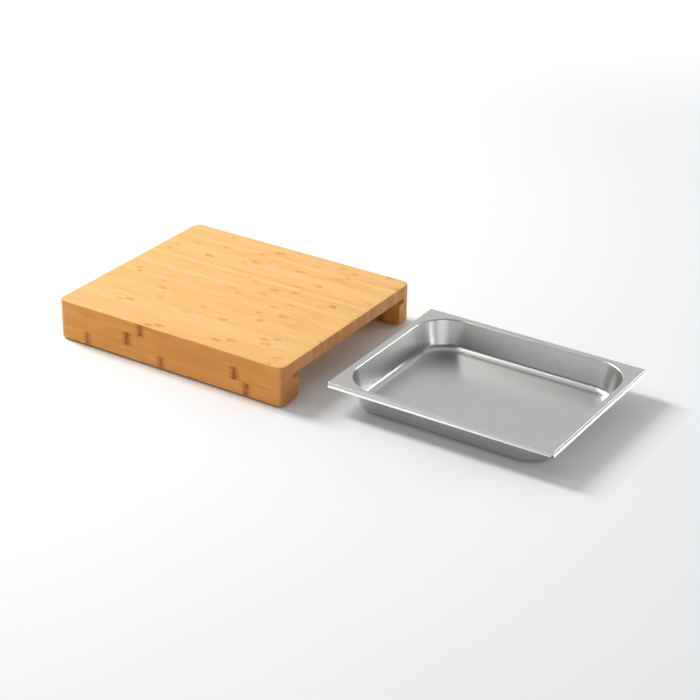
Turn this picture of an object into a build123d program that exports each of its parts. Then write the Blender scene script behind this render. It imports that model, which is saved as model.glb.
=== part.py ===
from build123d import *
from math import cos, radians, tan
import os

# Bamboo cutting board on two side rails, with a stainless steel pan that slides in under it.
# Millimetres, +Z up. X runs along the board towards its open end, Y across it towards the back rail.
# The origin lies on the table, under the middle of the board and the drawn-out tray taken together.

# ---- tray: a half-size steel pan, pressed from one sheet
tray_length = 325
tray_width = 265
tray_height = 40
sheet = 0.8
flange_width = 11.5        # from the lip's outer edge to the line where flange and wall would meet
flange_corner_radius = 2
lip_drop = 4               # the lip's upright part, from the flange down
lip_flare = 2              # the turned-out edge below it: this far out, and as far down
flare_lean = 45            # degrees off vertical
lip_bend_radius = 1.1
mouth_corner_radius = 50
mouth_bend_radius = 2.5
wall_draft = 16            # degrees off vertical
floor_radius = 10

# ---- clearances of the tray in its grooves
run_clearance = 0.5        # between the flange and the panel above it
hang_clearance = 1         # the tray drops this far on to the rails when the board is lifted
front_clearance = 5        # between the lip and the front groove's side wall
back_clearance = 3         # between the lip and the back groove's side wall
stop_clearance = 0.5       # between the stowed tray and the closed ends of the grooves
flange_bearing = 7.5       # how far the lip reaches over each rail
tray_inset = 8             # how far the stowed tray lies inside the open end
parked_gap = 45            # between the board and the tray that has been drawn out

# ---- board
panel_thickness = 17.5
front_rail_width = 38
back_rail_width = 28
closed_end_length = 32.5   # solid rail beyond the closed end of each groove
corner_radius = 11
top_edge_radius = 1.5
bottom_edge_radius = 2
cutter_radius = 5          # of the router that cuts the grooves

# ---- feet
foot_height = 2.5
foot_radius = 8
foot_inset = 26            # from the board's end to the foot's centre

# ---- worked out from the sizes above
bay_width = tray_width - 2 * flange_bearing
board_width = front_rail_width + bay_width + back_rail_width
board_length = tray_inset + tray_length + stop_clearance + closed_end_length
panel_underside = tray_height + run_clearance
rail_layer_height = (panel_underside - foot_height) / 2
upper_layer_bottom = foot_height + rail_layer_height
groove_height = run_clearance + lip_drop + lip_flare + hang_clearance
groove_floor = panel_underside - groove_height
front_groove_depth = flange_bearing + front_clearance
back_groove_depth = flange_bearing + back_clearance
groove_length = tray_inset + tray_length + stop_clearance

total_length = board_length + parked_gap + tray_length
board_x = (board_length - total_length) / 2
board_left = board_x - board_length / 2
board_right = board_x + board_length / 2
tray_x = (total_length - tray_length) / 2
front_rail_y = (front_rail_width - board_width) / 2
back_rail_y = (board_width - back_rail_width) / 2
tray_y = (front_rail_width - back_rail_width) / 2

os.makedirs("parts", exist_ok=True)


def rail_plan(rail_y, rail_width):
    """Plan of a rail: the strip that it takes up of the board's rounded outline."""
    with Locations((board_x, 0)):
        RectangleRounded(board_length, board_width, corner_radius)
    with Locations((board_x, rail_y)):
        Rectangle(board_length, rail_width, mode=Mode.INTERSECT)


def groove_plan(inner_face_y, groove_depth, inward):
    """Plan of a groove, open to the bay and at the board's right end, and closed at the left.
    inward is the way to the bay: +1 on the front rail and -1 on the back rail."""
    side_wall_y = inner_face_y - inward * groove_depth
    wall_side = Align.MIN if inward > 0 else Align.MAX
    with Locations((board_right - groove_length, side_wall_y)):
        Rectangle(groove_length + corner_radius, groove_depth + cutter_radius, align=(Align.MIN, wall_side))
    closed_corners = vertices().sort_by(Axis.X)[:2].sort_by(Axis.Y)
    fillet(closed_corners[0 if inward > 0 else -1], cutter_radius)


# ---- top panel: bamboo strips glued side by side, with every top edge eased
with BuildPart() as top_panel:
    with BuildSketch(Plane.XY.offset(panel_underside)):
        with Locations((board_x, 0)):
            RectangleRounded(board_length, board_width, corner_radius)
    extrude(amount=panel_thickness)
    fillet(top_panel.faces().sort_by(Axis.Z)[-1].edges(), top_edge_radius)
top_panel.part.label = "top_panel"
export_step(top_panel.part, "parts/top_panel.step")

# ---- rails: two glued layers each; the upper one is rebated along the bay to make the groove
rails = [
    ("front_rail", front_rail_y, front_rail_width, front_groove_depth, 1),
    ("back_rail", back_rail_y, back_rail_width, back_groove_depth, -1),
]
for rail_name, rail_y, rail_width, groove_depth, inward in rails:
    inner_face_y = rail_y + inward * rail_width / 2

    with BuildPart() as upper_layer:
        with BuildSketch(Plane.XY.offset(upper_layer_bottom)):
            rail_plan(rail_y, rail_width)
        extrude(amount=rail_layer_height)
        with BuildSketch(Plane.XY.offset(groove_floor)):
            groove_plan(inner_face_y, groove_depth, inward)
        extrude(amount=groove_height, mode=Mode.SUBTRACT)
    upper_layer.part.label = rail_name + "_upper"
    export_step(upper_layer.part, "parts/" + rail_name + "_upper.step")

    with BuildPart() as lower_layer:
        with BuildSketch(Plane.XY.offset(foot_height)):
            rail_plan(rail_y, rail_width)
        extrude(amount=rail_layer_height)
        fillet(lower_layer.faces().sort_by(Axis.Z)[0].edges(), bottom_edge_radius)
    lower_layer.part.label = rail_name + "_lower"
    export_step(lower_layer.part, "parts/" + rail_name + "_lower.step")

# ---- feet: thin rubber discs under the rails' ends
foot_places = {
    "foot_front_left": (board_left + foot_inset, front_rail_y),
    "foot_front_right": (board_right - foot_inset, front_rail_y),
    "foot_back_left": (board_left + foot_inset, back_rail_y),
    "foot_back_right": (board_right - foot_inset, back_rail_y),
}
for foot_name, (foot_x, foot_y) in foot_places.items():
    with BuildPart() as foot:
        with BuildSketch(Plane.XY):
            with Locations((foot_x, foot_y)):
                Circle(foot_radius)
        extrude(amount=foot_height)
    foot.part.label = foot_name
    export_step(foot.part, "parts/" + foot_name + ".step")

# ---- tray: one pressed sheet, made as an outer form less an inner one, each with its own bend radii
mouth_length = tray_length - 2 * flange_width
mouth_width = tray_width - 2 * flange_width
wall_reach = sheet / cos(radians(wall_draft))
flange_underside = tray_height - sheet
lip_length = tray_length - 2 * lip_flare
lip_width = tray_width - 2 * lip_flare
flare_top = tray_height - lip_drop
inner_kink = sheet * tan(radians(flare_lean / 2))

# the inside of the bowl, with the wide bend round its floor
with BuildPart() as bowl_inside:
    with BuildSketch(Plane.XY.offset(tray_height)):
        with Locations((tray_x, tray_y)):
            RectangleRounded(mouth_length, mouth_width, mouth_corner_radius)
    extrude(amount=-flange_underside, taper=wall_draft)
    fillet(bowl_inside.faces().sort_by(Axis.Z)[0].edges(), floor_radius)

# the hollow under the flange, inside the upright part of the lip and its turned-out edge
with BuildPart() as under_flange:
    with BuildSketch(Plane.XY.offset(flange_underside)):
        with Locations((tray_x, tray_y)):
            RectangleRounded(lip_length - 2 * sheet, lip_width - 2 * sheet, flange_corner_radius - sheet)
    extrude(amount=flare_top - inner_kink - flange_underside)
    extrude(under_flange.faces().sort_by(Axis.Z)[0], amount=lip_flare, taper=-flare_lean)

with BuildPart() as tray:
    # the flange and its lip as one block, with the edge turned out, then hollowed from below
    with BuildSketch(Plane.XY.offset(tray_height)):
        with Locations((tray_x, tray_y)):
            RectangleRounded(lip_length, lip_width, flange_corner_radius)
    extrude(amount=-lip_drop)
    extrude(tray.faces().sort_by(Axis.Z)[0], amount=lip_flare, taper=-flare_lean)
    fillet(tray.faces().sort_by(Axis.Z)[-1].edges(), lip_bend_radius)
    add(under_flange.part, mode=Mode.SUBTRACT)

    # the drawn bowl from outside, down to the table, and the tight bend where it meets the flange
    with BuildSketch(Plane.XY.offset(tray_height)):
        with Locations((tray_x, tray_y)):
            RectangleRounded(
                mouth_length + 2 * wall_reach, mouth_width + 2 * wall_reach, mouth_corner_radius + wall_reach
            )
    extrude(amount=-tray_height, taper=wall_draft)
    fillet(tray.faces().sort_by(Axis.Z)[0].edges(), floor_radius + sheet)
    flange_from_below = tray.faces().filter_by(Axis.Z).sort_by(Axis.Z)[-2]
    fillet(flange_from_below.inner_wires()[0].edges(), mouth_bend_radius - sheet)

    # the hollow of the bowl, and the round bend at its mouth
    add(bowl_inside.part, mode=Mode.SUBTRACT)
    fillet(tray.faces().sort_by(Axis.Z)[-1].inner_wires()[0].edges(), mouth_bend_radius)
tray.part.label = "tray"
export_step(tray.part, "parts/tray.step")
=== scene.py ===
"""A bamboo cutting board on two side rails, and the stainless steel pan that slides in under it.
Metres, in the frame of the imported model: +X towards the board's open end, +Y towards its back, +Z up."""

import bmesh
import bpy
import math
from mathutils import Matrix, Vector


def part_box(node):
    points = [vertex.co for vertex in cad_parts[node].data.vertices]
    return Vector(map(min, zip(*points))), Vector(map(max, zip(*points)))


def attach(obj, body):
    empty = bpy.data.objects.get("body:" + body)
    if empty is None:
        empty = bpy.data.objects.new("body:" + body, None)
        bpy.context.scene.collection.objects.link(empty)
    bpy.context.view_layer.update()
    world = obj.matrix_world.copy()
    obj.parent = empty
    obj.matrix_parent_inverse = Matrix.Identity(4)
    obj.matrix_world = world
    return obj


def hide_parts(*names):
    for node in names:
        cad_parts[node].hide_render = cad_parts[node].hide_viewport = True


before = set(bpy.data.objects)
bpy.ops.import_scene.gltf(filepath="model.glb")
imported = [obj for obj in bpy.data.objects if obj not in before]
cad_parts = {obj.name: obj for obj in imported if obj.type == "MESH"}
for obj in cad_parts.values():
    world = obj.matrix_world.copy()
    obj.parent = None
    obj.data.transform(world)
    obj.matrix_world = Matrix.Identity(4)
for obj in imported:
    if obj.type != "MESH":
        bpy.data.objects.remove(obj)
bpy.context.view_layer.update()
MM = 0.001

# ---- Work top
# Bamboo strips almost 9 mm wide, glued side by side, planed flat and oiled. The knuckles of the cane show
# as small clusters of dashes on top and as bars across the side faces. At the board's ends the strips are
# cut across, so the surface there is darker and full of the fibre bundles' dots.
strip_width = 8.8 * MM
strip_stagger = 17.3      # how far the strips are shifted along the cane at most, in knuckle spacings
knuckle_spacing = 200 * MM
knuckle_length = 24 * MM
mark_half_width = 0.56    # of the strip's width
mark_feather = 3.2        # how ragged its outline is
mark_wander = 6 * MM      # how far the wobble of the grain moves a mark or a bar
bar_wander = 9 * MM
bar_halo = 11 * MM
bar_core = 4.8 * MM
facing_turn = (0.45, 0.85)    # from here to there a rounded corner turns into an end or a side face

# noise cells per metre along X, Y and Z
wobble_cells = (150, 700, 500)
fibre_cells = (18, 1150, 1150)
vein_cells = (30, 620, 620)
patch_cells = (13, 60, 60)
pore_cells = (40, 1700, 1700)
dash_cells = (230, 520, 520)
rung_cells = (640, 130, 170)

# how far each of them lightens or darkens the wood
strip_depth = 0.10
end_strip_depth = 0.32
fibre_depth = 0.52
vein_depth = 0.40
planed_patch_depth = 0.16
side_patch_depth = 0.56
glue_depth = 0.20
pore_depth = 0.6
mark_depth = 0.26
dash_depth = 0.56
faintest_mark = 0.3       # of the darkest mark's strength
halo_depth = (0.38, 0.63)
rung_depth = 0.54

planed_tone = (0.875, 0.518, 0.195, 1)
side_tone = (0.800, 0.358, 0.084, 1)
end_tone = (0.660, 0.305, 0.114, 1)
knuckle_tint = (0.690, 0.350, 0.120, 1)
bar_tint = (0.430, 0.235, 0.190, 1)
ruddy_tint = (1.000, 0.930, 0.820, 1)
glue_tone = (0.420, 0.200, 0.070, 1)
pore_tone = (0.260, 0.105, 0.050, 1)
oiled_roughness = 0.42
fibre_roughness = 0.22    # what the fibres add to it
wood_relief = 0.12 * MM


def put(tree, socket, value):
    """Links another node's socket, or sets a plain value."""
    if isinstance(value, bpy.types.NodeSocket):
        tree.links.new(value, socket)
    else:
        socket.default_value = value


def add_node(tree, kind, inputs, **settings):
    """A shader node with its settings and its inputs."""
    node = tree.nodes.new(kind)
    for name, value in settings.items():
        setattr(node, name, value)
    for name, value in inputs.items():
        put(tree, node.inputs[name], value)
    return node


def calc(tree, operation, *values):
    """One step of arithmetic."""
    return add_node(tree, "ShaderNodeMath", dict(enumerate(values)), operation=operation).outputs[0]


def step(tree, value, start, end, low=0.0, high=1.0):
    """A smooth step from low to high, as value goes from start to end."""
    inputs = {"Value": value, "From Min": start, "From Max": end, "To Min": low, "To Max": high}
    return add_node(tree, "ShaderNodeMapRange", inputs, interpolation_type="SMOOTHSTEP").outputs["Result"]


def blend(tree, share, first, second, how="MIX"):
    """Two colours, mixed by share."""
    inputs = {0: share, 6: first, 7: second}
    return add_node(tree, "ShaderNodeMix", inputs, data_type="RGBA", blend_type=how).outputs[2]


def three_randoms(tree, x, y, z):
    """Three random numbers between 0 and 1 for each place."""
    place = add_node(tree, "ShaderNodeCombineXYZ", {0: x, 1: y, 2: z}).outputs[0]
    noise = add_node(tree, "ShaderNodeTexWhiteNoise", {"Vector": place}, noise_dimensions="3D")
    return add_node(tree, "ShaderNodeSeparateColor", {0: noise.outputs["Color"]}).outputs


def grain(tree, position, per_metre, detail=2.0):
    """Noise from 0 to 1, stretched by its three counts per metre."""
    scaled = add_node(tree, "ShaderNodeMapping", {"Vector": position, "Scale": per_metre}).outputs[0]
    inputs = {"Vector": scaled, "Scale": 1.0, "Detail": detail}
    return add_node(tree, "ShaderNodeTexNoise", inputs).outputs[0]


def vary(tree, tone, noise, depth):
    """Lightens or darkens a tone by a noise around its middle, up to half of depth each way."""
    return calc(tree, "MULTIPLY_ADD", calc(tree, "SUBTRACT", noise, 0.5), depth, tone)


def new_group(name, inputs, outputs):
    """An empty shader node group, with its inputs and outputs by name."""
    tree = bpy.data.node_groups.new(name, "ShaderNodeTree")
    for socket, kind in inputs.items():
        tree.interface.new_socket(socket, in_out="INPUT", socket_type="NodeSocket" + kind)
    for socket, kind in outputs.items():
        tree.interface.new_socket(socket, in_out="OUTPUT", socket_type="NodeSocket" + kind)
    return tree, tree.nodes.new("NodeGroupInput").outputs, tree.nodes.new("NodeGroupOutput").inputs


bamboo, given, result = new_group(
    "bamboo",
    {
        "Position": "Vector",
        "Facing": "Vector",
        "Seed": "Float",
        "First Bar": "Float",
        "Second Bar": "Float",
        "Third Bar": "Float",
        "Side Tone": "Color",
    },
    {"Color": "Color", "Roughness": "Float", "Height": "Float"},
)
x, y = add_node(bamboo, "ShaderNodeSeparateXYZ", {0: given["Position"]}).outputs[:2]
facing_x, facing_y = add_node(bamboo, "ShaderNodeSeparateXYZ", {0: given["Facing"]}).outputs[:2]
end_share = step(bamboo, calc(bamboo, "ABSOLUTE", facing_x), *facing_turn)
side_share = step(bamboo, calc(bamboo, "ABSOLUTE", facing_y), *facing_turn)
wobble = calc(bamboo, "SUBTRACT", grain(bamboo, given["Position"], wobble_cells), 0.5)

# which strip a point is in, and how far across it
strip_count = calc(bamboo, "ADD", calc(bamboo, "DIVIDE", y, strip_width), given["Seed"])
strip = calc(bamboo, "FLOOR", strip_count)
across = calc(bamboo, "SUBTRACT", calc(bamboo, "FRACT", strip_count), 0.5)
of_strip = three_randoms(bamboo, strip, given["Seed"], 0.0)
glue_line = step(bamboo, calc(bamboo, "ABSOLUTE", across), 0.45, 0.5)

# fibres along the strips, and their dots where the strips are cut across
fibre = grain(bamboo, given["Position"], fibre_cells, 3.0)
vein = grain(bamboo, given["Position"], vein_cells)
patch = grain(bamboo, given["Position"], patch_cells)
pore = grain(bamboo, given["Position"], pore_cells, 1.0)

# knuckles on the planed faces: a soft mark as wide as the strip at each joint, with darker dashes in it.
# Each strip starts at another place along the cane, and its joints aren't evenly spaced
along = calc(bamboo, "DIVIDE", x, knuckle_spacing)
along = calc(bamboo, "MULTIPLY_ADD", of_strip[0], strip_stagger, along)
of_joint = three_randoms(bamboo, strip, calc(bamboo, "FLOOR", along), given["Seed"])
joint_place = calc(bamboo, "MULTIPLY_ADD", of_joint[0], 0.8, 0.1)
from_joint = calc(bamboo, "SUBTRACT", calc(bamboo, "FRACT", along), joint_place)
wander = calc(bamboo, "MULTIPLY", wobble, mark_wander)
from_joint = calc(bamboo, "MULTIPLY_ADD", from_joint, knuckle_spacing, wander)
half_length = calc(bamboo, "MULTIPLY_ADD", of_joint[1], 0.25 * knuckle_length, 0.28 * knuckle_length)
lengthwise = calc(bamboo, "ABSOLUTE", calc(bamboo, "DIVIDE", from_joint, half_length))
lengthwise = calc(bamboo, "POWER", lengthwise, 1.6)
crosswise = calc(bamboo, "DIVIDE", calc(bamboo, "ABSOLUTE", across), mark_half_width)
crosswise = calc(bamboo, "POWER", crosswise, 2.0)
feathered = vary(bamboo, calc(bamboo, "ADD", lengthwise, crosswise), vein, mark_feather)
dashes = step(bamboo, grain(bamboo, given["Position"], dash_cells, 1.0), 0.46, 0.56, 0.0, dash_depth)
dashes = calc(bamboo, "MULTIPLY", dashes, step(bamboo, feathered, 0.85, 0.1))
knuckle = calc(bamboo, "MULTIPLY_ADD", step(bamboo, feathered, 1.2, 0.0), mark_depth, dashes)
knuckle = calc(bamboo, "MULTIPLY", knuckle, step(bamboo, of_joint[2], 0.0, 0.8, faintest_mark, 1.0))

# knuckles on the side faces: bars as tall as the layer, each a ladder of upright dashes in a ruddy halo
rungs = step(bamboo, grain(bamboo, given["Position"], rung_cells), 0.38, 0.60, 0.0, rung_depth)
bars = 0.0
for bar in ("First Bar", "Second Bar", "Third Bar"):
    from_bar = calc(bamboo, "SUBTRACT", x, given[bar])
    from_bar = calc(bamboo, "ABSOLUTE", calc(bamboo, "MULTIPLY_ADD", wobble, bar_wander, from_bar))
    of_bar = three_randoms(bamboo, given[bar], given["Seed"], 0.5)
    darkest = calc(bamboo, "MULTIPLY_ADD", of_bar[0], halo_depth[1] - halo_depth[0], halo_depth[0])
    halo = step(bamboo, from_bar, bar_halo, 0.0, 0.0, darkest)
    core = calc(bamboo, "MULTIPLY", step(bamboo, from_bar, bar_core, 0.3 * bar_core), rungs)
    bars = calc(bamboo, "ADD", bars, calc(bamboo, "ADD", halo, core))

# the tone of each strip, fibre and patch
strip_spread = calc(bamboo, "MULTIPLY_ADD", end_share, end_strip_depth - strip_depth, strip_depth)
sides_more = side_patch_depth - planed_patch_depth
patch_spread = calc(bamboo, "MULTIPLY_ADD", side_share, sides_more, planed_patch_depth)
tone = vary(bamboo, 1.0, of_strip[1], strip_spread)
tone = vary(bamboo, tone, fibre, fibre_depth)
tone = vary(bamboo, tone, vein, vein_depth)
tone = vary(bamboo, tone, patch, patch_spread)

# the wood's colour, which turns redder where it is darker, and the marks over it
color = blend(bamboo, side_share, planed_tone, given["Side Tone"])
color = blend(bamboo, end_share, color, end_tone)
color = blend(bamboo, of_strip[2], color, ruddy_tint, "MULTIPLY")
red = calc(bamboo, "MULTIPLY_ADD", tone, 0.6, 0.4)
blue = calc(bamboo, "MULTIPLY_ADD", tone, 1.5, -0.5)
warm_tone = add_node(bamboo, "ShaderNodeCombineXYZ", {0: red, 1: tone, 2: blue}).outputs[0]
color = add_node(bamboo, "ShaderNodeVectorMath", {0: color, 1: warm_tone}, operation="MULTIPLY").outputs[0]
color = blend(bamboo, calc(bamboo, "MULTIPLY", glue_line, glue_depth), color, glue_tone)
pores = calc(bamboo, "MULTIPLY", end_share, pore_depth)
pores = calc(bamboo, "MULTIPLY", step(bamboo, pore, 0.48, 0.62), pores)
color = blend(bamboo, pores, color, pore_tone)
on_faces = calc(bamboo, "MAXIMUM", side_share, end_share)
on_planed = calc(bamboo, "MULTIPLY", knuckle, calc(bamboo, "SUBTRACT", 1.0, on_faces))
color = blend(bamboo, on_planed, color, knuckle_tint, "MULTIPLY")
on_side = calc(bamboo, "MULTIPLY", bars, calc(bamboo, "SUBTRACT", on_faces, end_share))
color = blend(bamboo, on_side, color, bar_tint, "MULTIPLY")
put(bamboo, result["Color"], color)
put(bamboo, result["Roughness"], calc(bamboo, "MULTIPLY_ADD", fibre, fibre_roughness, oiled_roughness))
relief = calc(bamboo, "SUBTRACT", fibre, calc(bamboo, "MULTIPLY", glue_line, 0.5))
put(bamboo, result["Height"], calc(bamboo, "SUBTRACT", relief, calc(bamboo, "MULTIPLY", pores, 0.6)))


def new_material(name):
    """A material with nodes; returns it, its tree, its shader and its texture coordinates."""
    material = bpy.data.materials.new(name)
    material.use_nodes = True
    tree = material.node_tree
    return material, tree, tree.nodes["Principled BSDF"], tree.nodes.new("ShaderNodeTexCoord").outputs


def use_group(tree, group, inputs):
    """A node that runs a shader node group."""
    node = tree.nodes.new("ShaderNodeGroup")
    node.node_tree = group
    for name, value in inputs.items():
        put(tree, node.inputs[name], value)
    return node.outputs


def add_relief(tree, shader, height, depth, strength):
    """A bump of that depth in metres."""
    bump = add_node(tree, "ShaderNodeBump", {"Height": height, "Distance": depth, "Strength": strength})
    put(tree, shader.inputs["Normal"], bump.outputs["Normal"])


def oiled_bamboo(name, seed, bars, tone):
    """Oiled bamboo with its own strips, its bars at three places along X, and its own tone on the sides."""
    material, tree, shader, coordinates = new_material(name)
    cane = dict(zip(("First Bar", "Second Bar", "Third Bar"), bars))
    cane["Position"] = coordinates["Object"]
    cane["Facing"] = coordinates["Normal"]
    cane["Seed"] = seed
    cane["Side Tone"] = tone
    wood = use_group(tree, bamboo, cane)
    put(tree, shader.inputs["Base Color"], wood["Color"])
    put(tree, shader.inputs["Roughness"], wood["Roughness"])
    shader.inputs["Specular IOR Level"].default_value = 0.22
    add_relief(tree, shader, wood["Height"], wood_relief, 0.5)
    return material


def finish_node(node, material):
    """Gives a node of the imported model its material."""
    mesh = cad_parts[node].data
    mesh.materials.clear()
    mesh.materials.append(material)


nowhere = 0.5    # a bar at this X lies off the board
finish_node("top_panel", oiled_bamboo("bamboo_top", 3.0, (-0.2287, nowhere, nowhere), side_tone))

# ---- Side rails
# Two more layers of the same bamboo glued under each long edge of the top. Their outer faces are the flat
# sides of wide strips, so each layer has its own tone and its own few broad knuckle bars.
# For each layer: its seed, where its bars are along X, and its tone
layers = {
    "front_rail_upper": (7.0, (-0.2514, -0.0769, nowhere), (0.785, 0.345, 0.080, 1)),
    "front_rail_lower": (11.0, (-0.3184, -0.1956, -0.0576), (0.800, 0.365, 0.090, 1)),
    "back_rail_upper": (17.0, (-0.3020, -0.1180, nowhere), (0.810, 0.360, 0.082, 1)),
    "back_rail_lower": (23.0, (-0.2230, -0.0330, nowhere), (0.780, 0.340, 0.076, 1)),
}
for node_name, (layer_seed, layer_bars, layer_tone) in layers.items():
    finish_node(node_name, oiled_bamboo("bamboo_" + node_name, layer_seed, layer_bars, layer_tone))

# ---- Feet
# Four thin discs of dark rubber, fixed under the ends of the rails. Each is moulded with a rounded lower
# edge and a shallow cup in the middle that grips the table.
foot_edge = 0.5 * MM
cup_inset = 2.5 * MM
cup_depth = 0.4 * MM
foot_segments = 48
edge_segments = 4
flat = 0.99    # faces that point this straight down or up keep their flat shading
speckle_cells = (900, 900, 900)
rubber_dark = (0.030, 0.031, 0.032, 1)
rubber_light = (0.055, 0.056, 0.058, 1)
rubber_relief = 0.05 * MM

rubber, tree, shader, coordinates = new_material("dark_rubber")
speckle = grain(tree, coordinates["Object"], speckle_cells)
put(tree, shader.inputs["Base Color"], blend(tree, speckle, rubber_dark, rubber_light))
put(tree, shader.inputs["Roughness"], step(tree, speckle, 0.2, 0.8, 0.6, 0.8))
add_relief(tree, shader, speckle, rubber_relief, 0.4)


def new_piece(name, bm, material, body):
    """A finished mesh as an object of its own, riding on its body."""
    mesh = bpy.data.meshes.new(name)
    bm.to_mesh(mesh)
    bm.free()
    mesh.materials.append(material)
    piece = bpy.data.objects.new(name, mesh)
    bpy.context.scene.collection.objects.link(piece)
    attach(piece, body)
    return piece


for corner in ("front_left", "front_right", "back_left", "back_right"):
    low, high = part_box("foot_" + corner)
    radius = (high.x - low.x) / 2
    bm = bmesh.new()
    bmesh.ops.create_cone(
        bm, cap_ends=True, segments=foot_segments, radius1=radius, radius2=radius, depth=high.z - low.z
    )
    bmesh.ops.translate(bm, vec=(low + high) / 2, verts=bm.verts)
    sole = min(bm.faces, key=lambda face: face.calc_center_median().z)
    bmesh.ops.bevel(
        bm,
        geom=sole.edges[:],
        offset=foot_edge,
        segments=edge_segments,
        profile=0.5,
        affect="EDGES",
        material=-1,
    )
    sole = min(bm.faces, key=lambda face: face.calc_center_median().z)
    for wide, deep in ((cup_inset, 0), (cup_depth, -cup_depth)):
        bmesh.ops.inset_region(bm, faces=[sole], thickness=wide, depth=deep, use_even_offset=True)
    for face in bm.faces:
        face.smooth = abs(face.normal.z) < flat
    foot = new_piece("rubber_foot_" + corner, bm, rubber, "board")
    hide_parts("foot_" + corner)

# ---- Tray
# A shallow half-size food pan, drawn from one 0.8 mm stainless sheet. The flange is bent down round its
# edge and turned out again into a stiffening lip, and walls and floor meet in one wide bend. Satin finish,
# with the faint streaks of rolling along the pan.
sheet = 0.8 * MM
flange_width = 11.5 * MM
lip_drop = 4 * MM
lip_flare = 2 * MM
lip_bend = 1.1 * MM
flare_bend = 0.9 * MM
flange_corner = 2 * MM
mouth_corner = 50 * MM
mouth_bend = 2.5 * MM
floor_bend = 10 * MM
wall_draft = 16    # degrees off upright
flare_lean = 45    # degrees off upright
cut_edge = 0.15 * MM
cut_angle = 60     # degrees between faces, above which an edge is a cut one
cut_segments = 2
corner_segments = 28
flare_segments = 4
lip_segments = 6
mouth_segments = 10
floor_segments = 14

tray_low, tray_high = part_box("tray")
tray_size = tray_high - tray_low
tray_centre = (tray_low + tray_high) / 2


def rounded_sheet(bm, inset, depth, radius):
    """A flat rounded rectangle, this far inside the pan's outline and this far below its flange."""
    corners = bmesh.ops.create_grid(bm, x_segments=1, y_segments=1, size=0.5)["verts"]
    bmesh.ops.scale(bm, vec=(tray_size.x - 2 * inset, tray_size.y - 2 * inset, 1), verts=corners)
    bmesh.ops.translate(bm, vec=(tray_centre.x, tray_centre.y, tray_high.z - depth), verts=corners)
    rounded = bmesh.ops.bevel(
        bm,
        geom=corners,
        offset=radius,
        segments=corner_segments,
        profile=0.5,
        affect="VERTICES",
        material=-1,
    )
    return rounded["verts"][0].link_faces[0]


def bend(centre, radius, start, end, segments):
    """Points of a bend round its centre, as inset and depth. Angle 0 is straight up, 90 degrees inwards."""
    angles = [math.radians(start + (end - start) * i / segments) for i in range(segments + 1)]
    return [(centre[0] + radius * math.sin(a), centre[1] - radius * math.cos(a)) for a in angles]


def follow(bm, face, section):
    """Insets a face step by step, so that its outline runs through the section's points."""
    for (inset, depth), (next_inset, next_depth) in zip(section, section[1:]):
        bmesh.ops.inset_region(
            bm,
            faces=[face],
            thickness=next_inset - inset,
            depth=depth - next_depth,
            use_boundary=True,
            use_even_offset=True,
        )


pan = bmesh.new()

# the lip, from its turned-out edge in to the flange
flare_tangent = flare_bend * math.tan(math.radians(flare_lean / 2))
lip_section = [(0.0, lip_drop + lip_flare)]
flare_centre = (lip_flare - flare_bend, lip_drop - flare_tangent)
lip_section += bend(flare_centre, flare_bend, 180 - flare_lean, 90, flare_segments)
lip_section += bend((lip_flare + lip_bend, lip_bend), lip_bend, -90, 0, lip_segments)
flange = rounded_sheet(pan, 0.0, lip_drop + lip_flare, flange_corner + lip_flare)
follow(pan, flange, lip_section)
bmesh.ops.delete(pan, geom=[flange], context="FACES_ONLY")

# the bowl, from the bend at its mouth down the wall and round to the floor
wall_lean = 90 - wall_draft
half_turn = math.tan(math.radians(wall_lean / 2))
bowl_depth = tray_size.z - sheet
mouth_line = flange_width - mouth_bend * half_turn
floor_line = flange_width + bowl_depth * math.tan(math.radians(wall_draft)) + floor_bend * half_turn
bowl_section = bend((mouth_line, mouth_bend), mouth_bend, 0, wall_lean, mouth_segments)
floor_centre = (floor_line, bowl_depth - floor_bend)
bowl_section += bend(floor_centre, floor_bend, 180 + wall_lean, 180, floor_segments)
floor_face = rounded_sheet(pan, mouth_line, 0.0, mouth_corner + flange_width - mouth_line)
follow(pan, floor_face, bowl_section)

# the flange between lip and mouth, then the sheet's thickness, and its cut edge broken
above_lip = tray_high.z - lip_bend
open_rims = [edge for edge in pan.edges if edge.is_boundary and edge.verts[0].co.z > above_lip]
bmesh.ops.bridge_loops(pan, edges=open_rims)
bmesh.ops.solidify(pan, geom=pan.faces[:], thickness=sheet)
cut_edges = [edge for edge in pan.edges if edge.calc_face_angle(0) > math.radians(cut_angle)]
bmesh.ops.bevel(
    pan,
    geom=cut_edges,
    offset=cut_edge,
    segments=cut_segments,
    profile=0.5,
    affect="EDGES",
    material=-1,
)
for face in pan.faces:
    face.smooth = True

# satin steel: streaks of rolling, and a tone that drifts a little over the pan
streak_cells = (9, 2200, 2200)
cloud_cells = (14, 14, 25)
steel_dark = (0.61, 0.61, 0.60, 1)
steel_light = (0.65, 0.65, 0.64, 1)
satin_roughness = 0.26
streak_roughness = 0.04    # what the streaks add to it
streak_relief = 0.001 * MM

steel, tree, shader, coordinates = new_material("satin_steel")
streaks = grain(tree, coordinates["Object"], streak_cells, 3.0)
cloud = grain(tree, coordinates["Object"], cloud_cells)
put(tree, shader.inputs["Base Color"], blend(tree, cloud, steel_dark, steel_light))
roughness = calc(tree, "MULTIPLY_ADD", streaks, streak_roughness, satin_roughness)
put(tree, shader.inputs["Roughness"], roughness)
shader.inputs["Metallic"].default_value = 1.0
add_relief(tree, shader, streaks, streak_relief, 0.25)

tray = new_piece("steel_tray", pan, steel, "tray")
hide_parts("tray")
even_shading = tray.modifiers.new("even_shading", "WEIGHTED_NORMAL")
even_shading.keep_sharp = True
even_shading.weight = 50

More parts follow.
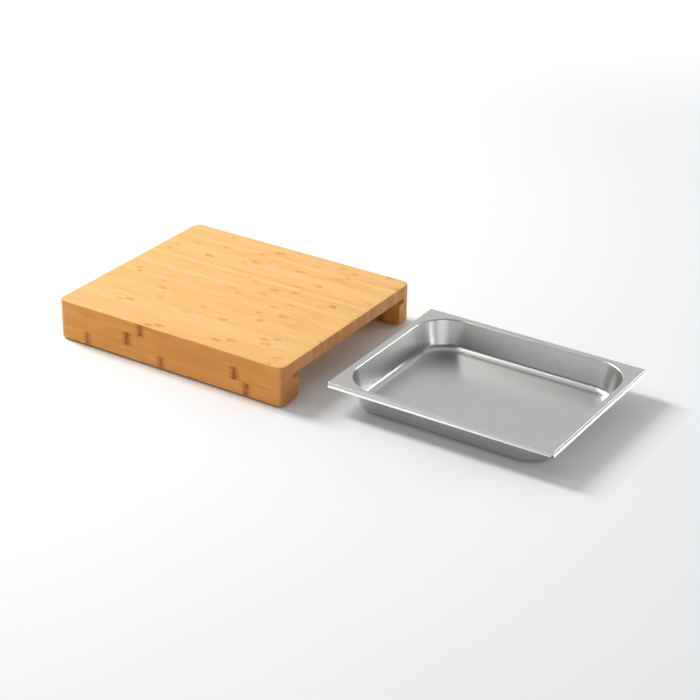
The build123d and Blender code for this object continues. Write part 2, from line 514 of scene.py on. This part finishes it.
# ---- Setting
# A plain pale floor in a pale room. A softbox on the left is the main light, a broad one stands far behind,
# one high at the front left catches the pan's lip, and a weak one fills the shade from the front right.
floor_radius = 14.0
floor_gap = 0.05 * MM    # between the floor and the object, so that the two don't flicker
fade_start = 0.9         # past the object's shadow, from here out to fade_end, the floor turns plain white
fade_end = 3.0
floor_sides = 96
paper_cells = (3, 3, 3)
paper_dark = (0.950, 0.965, 0.980, 1)
paper_light = (0.965, 0.980, 0.995, 1)
white = (1.0, 1.0, 1.0, 1)

floor_mesh = bmesh.new()
bmesh.ops.create_circle(floor_mesh, cap_ends=True, segments=floor_sides, radius=floor_radius)
bmesh.ops.translate(floor_mesh, vec=(0, 0, -floor_gap), verts=floor_mesh.verts)
paper, tree, shader, coordinates = new_material("white_paper")
tooth = grain(tree, coordinates["Object"], paper_cells)
put(tree, shader.inputs["Base Color"], blend(tree, tooth, paper_dark, paper_light))
shader.inputs["Roughness"].default_value = 0.9
shader.inputs["Specular IOR Level"].default_value = 0.1
from_middle = add_node(tree, "ShaderNodeVectorMath", {0: coordinates["Object"]}, operation="LENGTH")
fade = step(tree, from_middle.outputs["Value"], fade_start, fade_end)
rays = tree.nodes.new("ShaderNodeLightPath").outputs
seen = calc(tree, "MAXIMUM", rays["Is Glossy Ray"], rays["Is Transmission Ray"])
seen = calc(tree, "MAXIMUM", rays["Is Camera Ray"], seen)
shader.inputs["Emission Color"].default_value = white
put(tree, shader.inputs["Emission Strength"], calc(tree, "MULTIPLY", fade, seen))
floor_data = bpy.data.meshes.new("floor")
floor_mesh.to_mesh(floor_data)
floor_mesh.free()
floor_data.materials.append(paper)
floor = bpy.data.objects.new("floor", floor_data)
bpy.context.scene.collection.objects.link(floor)

# the room: pale at the horizon, and above that darker in front than behind and darker on the right
horizon_light = 0.95
front_light = 0.12
behind_light = 0.72
right_share = 0.6
world = bpy.data.worlds.new("studio")
bpy.context.scene.world = world
world.use_nodes = True
tree = world.node_tree
sky = add_node(tree, "ShaderNodeTexCoord", {}).outputs["Generated"]
sky_x, sky_y, sky_z = add_node(tree, "ShaderNodeSeparateXYZ", {0: sky}).outputs
overhead = step(tree, sky_y, -0.7, 0.5, front_light, behind_light)
overhead = calc(tree, "MULTIPLY", overhead, step(tree, sky_x, -0.1, 0.7, 1.0, right_share))
horizon = step(tree, sky_z, 0.15, 0.24, horizon_light, 0.0)
room = calc(tree, "MAXIMUM", horizon, overhead)
tree.nodes["Background"].inputs["Color"].default_value = white
put(tree, tree.nodes["Background"].inputs["Strength"], room)

# for each lamp: where it is, the point that it faces, its width and height, and its watts
lamps = {
    "key_light": ((-1.9, 0.0, 1.8), (-0.1, 0.0, 0.0), (0.58, 1.12), 53),
    "back_light": ((3.6, 4.2, 1.1), (0.0, 0.0, 0.03), (2.6, 1.2), 60),
    "lip_light": ((-1.8, -1.9, 3.0), (0.0, 0.0, 0.0), (1.3, 1.3), 13),
    "fill_light": ((2.4, -2.3, 1.0), (0.0, 0.0, 0.03), (1.6, 1.0), 7),
}
for lamp_name, (place, aim, lamp_size, watts) in lamps.items():
    lamp = bpy.data.lights.new(lamp_name, "AREA")
    lamp.shape = "RECTANGLE"
    lamp.size, lamp.size_y = lamp_size
    lamp.energy = watts
    softbox = bpy.data.objects.new(lamp_name, lamp)
    softbox.location = place
    softbox.rotation_mode = "QUATERNION"
    softbox.rotation_quaternion = (Vector(aim) - Vector(place)).to_track_quat("-Z", "Y")
    bpy.context.scene.collection.objects.link(softbox)

# ---- Camera
# A long lens from the front right and above, turned a little on its own axis, as the photograph was taken.
# It stands back far enough to take in the board and the drawn-out tray.
camera_azimuth = math.radians(32.0)
camera_elevation = math.radians(26.88)
camera_roll = math.radians(1.08)
camera_distance = 2.60
camera_target = Vector((0.0, 0.0, 0.020))
focal_length = 100.45    # in millimetres, as the sensor's width is
sensor_width = 36.0
farthest_seen = 100.0

back = Vector(
    (
        math.sin(camera_azimuth) * math.cos(camera_elevation),
        -math.cos(camera_azimuth) * math.cos(camera_elevation),
        math.sin(camera_elevation),
    )
)
right = (-back).cross(Vector((0, 0, 1))).normalized()
turned = Matrix((right, back.cross(right), back)).transposed() @ Matrix.Rotation(camera_roll, 3, "Z")
lens = bpy.data.cameras.new("camera")
lens.sensor_width = sensor_width
lens.lens = focal_length
lens.clip_end = farthest_seen
camera = bpy.data.objects.new("camera", lens)
camera.matrix_world = Matrix.Translation(camera_target + back * camera_distance) @ turned.to_4x4()
bpy.context.scene.collection.objects.link(camera)
bpy.context.scene.camera = camera
bpy.context.scene.view_settings.view_transform = "Standard"
